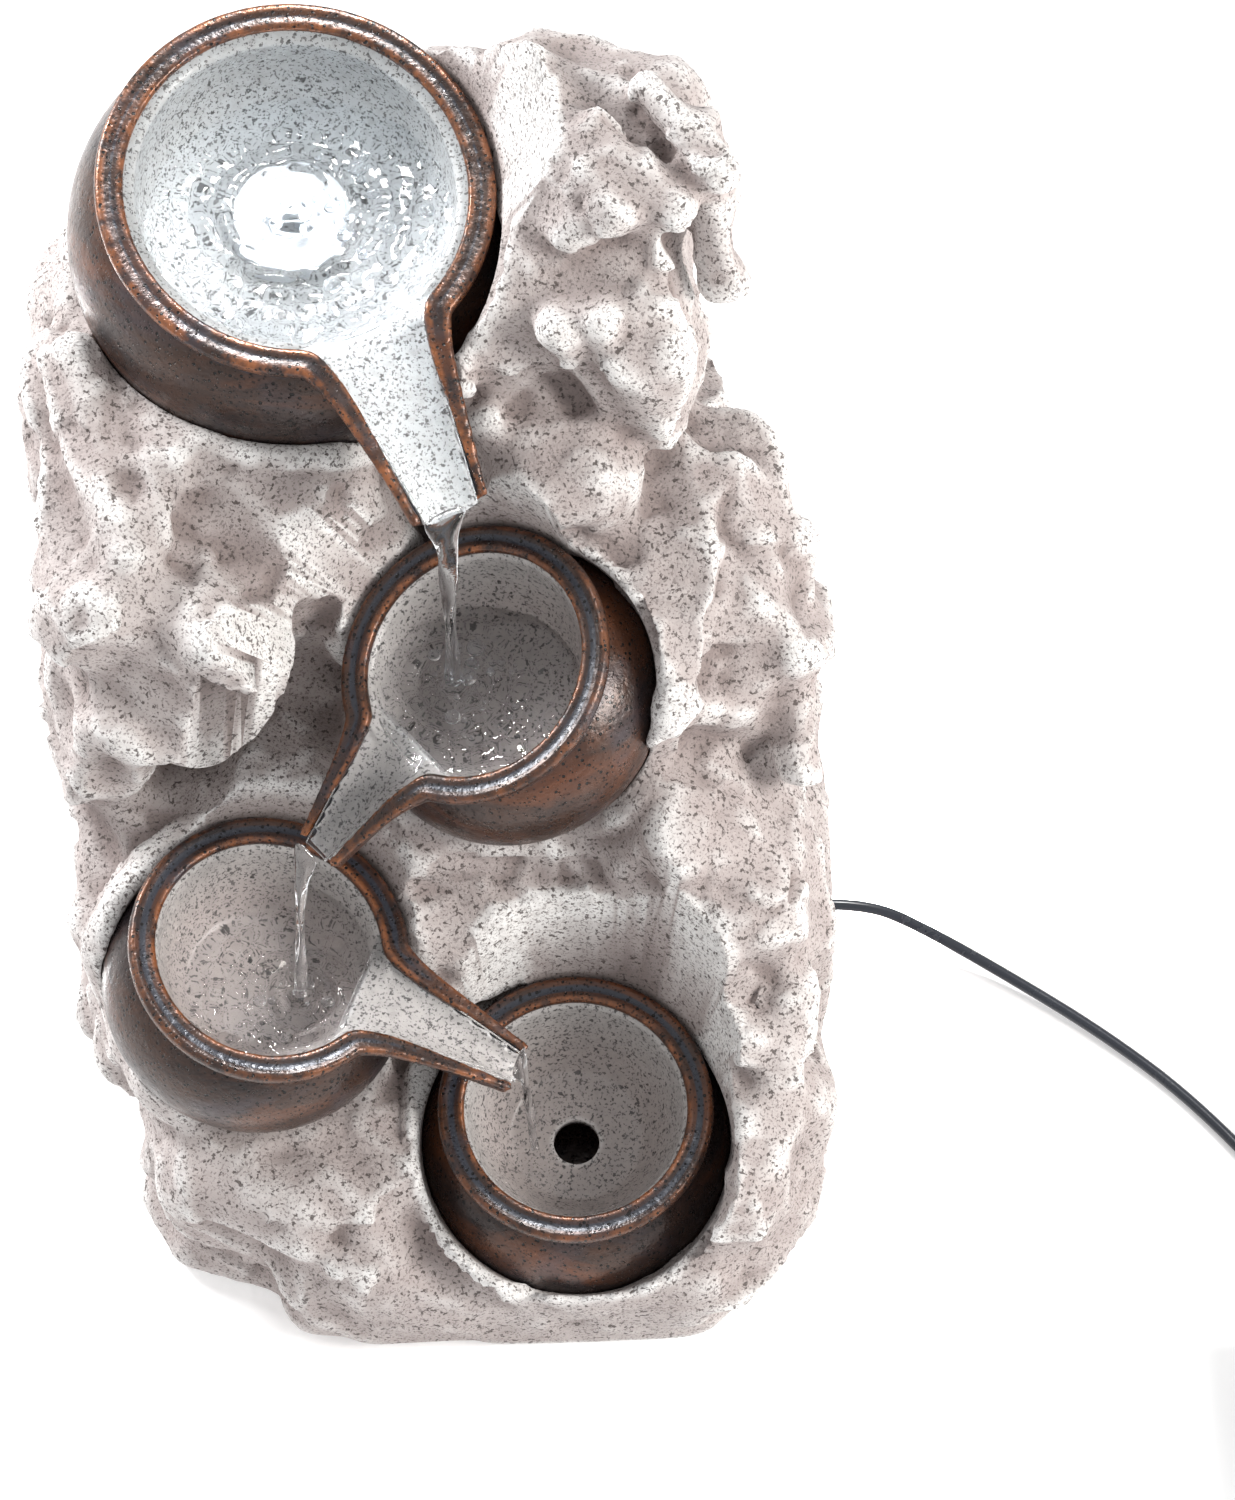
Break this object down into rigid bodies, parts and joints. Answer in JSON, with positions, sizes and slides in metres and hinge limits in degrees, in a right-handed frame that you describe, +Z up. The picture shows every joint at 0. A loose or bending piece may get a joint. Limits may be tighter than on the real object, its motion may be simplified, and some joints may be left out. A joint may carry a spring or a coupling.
{
  "type": "tabletop water fountain",
  "caption": "Small pump fountain for a table: a cast rock with four tilted pots, each pouring from its spout into the next, with a lit nozzle in the top pot.",
  "frame": {"origin": "bottom centre of the fountain on the table, without its cord", "axes": "+X to the right seen from the front, +Y to the back, +Z up"},
  "size_m": [0.3665, 0.329, 0.272],
  "materials": {
    "cast_rock": "cast resin stone, pale pinkish grey with dark flecks, matt",
    "pot_glaze": "dark bronze-brown glaze with copper wear and fine pits",
    "stone_liner": "speckled pale stone, fine grained, wet",
    "black_plastic": "matt black moulded plastic",
    "grey_plastic": "matt grey moulded plastic",
    "white_plastic": "matt white moulded plastic",
    "screw_steel": "plain stainless steel",
    "soft_rubber": "soft black rubber",
    "core_steel": "laminated steel",
    "winding": "copper winding",
    "magnet": "dark ferrite",
    "hose_vinyl": "clear vinyl hose",
    "clear_lens": "clear lens",
    "board_white": "white circuit board",
    "light_chip": "cool white light chips",
    "cord_jacket": "smooth dark jacket",
    "adapter_black": "fine matt black plastic",
    "pin_brass": "plated pins"
  },
  "bodies": {
    "fountain": {"adapter_case": "adapter_black", "adapter_face": "adapter_black", "adapter_pins": "pin_brass", "adapter_relief": "cord_jacket", "base_plate": "black_plastic", "base_screws": "screw_steel", "bottom_pot_body": "pot_glaze", "bottom_pot_liner": "stone_liner", "cord_coil": "cord_jacket", "cord_gland": "cord_jacket", "cord_tail": "cord_jacket", "delivery_hose": "hose_vinyl", "drain_seals": "soft_rubber", "drain_tube": "grey_plastic", "inner_cord": "cord_jacket", "lead_splice": "black_plastic", "light_board": "board_white", "light_chips": "light_chip", "light_housing": "white_plastic", "light_lead": "cord_jacket", "light_lens": "clear_lens", "nozzle_seal": "soft_rubber", "power_cord": "cord_jacket", "pump_cover": "black_plastic", "pump_housing": "black_plastic", "pump_lead": "cord_jacket", "reservoir_basin": "grey_plastic", "rock_shell": "cast_rock", "rotor_shaft": "screw_steel", "rubber_feet": "soft_rubber", "second_pot_body": "pot_glaze", "second_pot_liner": "stone_liner", "shaft_bushes": "soft_rubber", "stator_coil": "winding", "stator_core": "core_steel", "suction_cups": "soft_rubber", "third_pot_body": "pot_glaze", "third_pot_liner": "stone_liner", "top_pot_body": "pot_glaze", "top_pot_liner": "stone_liner", "water_nozzle": "white_plastic"},
    "rotor": {"impeller": "white_plastic", "rotor_magnet": "magnet"},
    "flow_knob": {"flow_knob": "grey_plastic"},
    "rear_door": {"rear_door": "cast_rock", "door_gasket": "soft_rubber"}
  },
  "joints": [
    {"name": "rotor_spin", "type": "hinge", "parent": "fountain", "child": "rotor", "pos_m": [0.002, 0.065, 0.031], "axis": [0, 1, 0], "continuous": true},
    {"name": "flow_turn", "type": "hinge", "parent": "fountain", "child": "flow_knob", "pos_m": [0.002, 0.083, 0.031], "axis": [0, 1, 0], "range_deg": [-60, 60]},
    {"name": "door_pull", "type": "slide", "parent": "fountain", "child": "rear_door", "axis": [0, 1, 0], "range_m": [0, 0.05]}
  ]
}
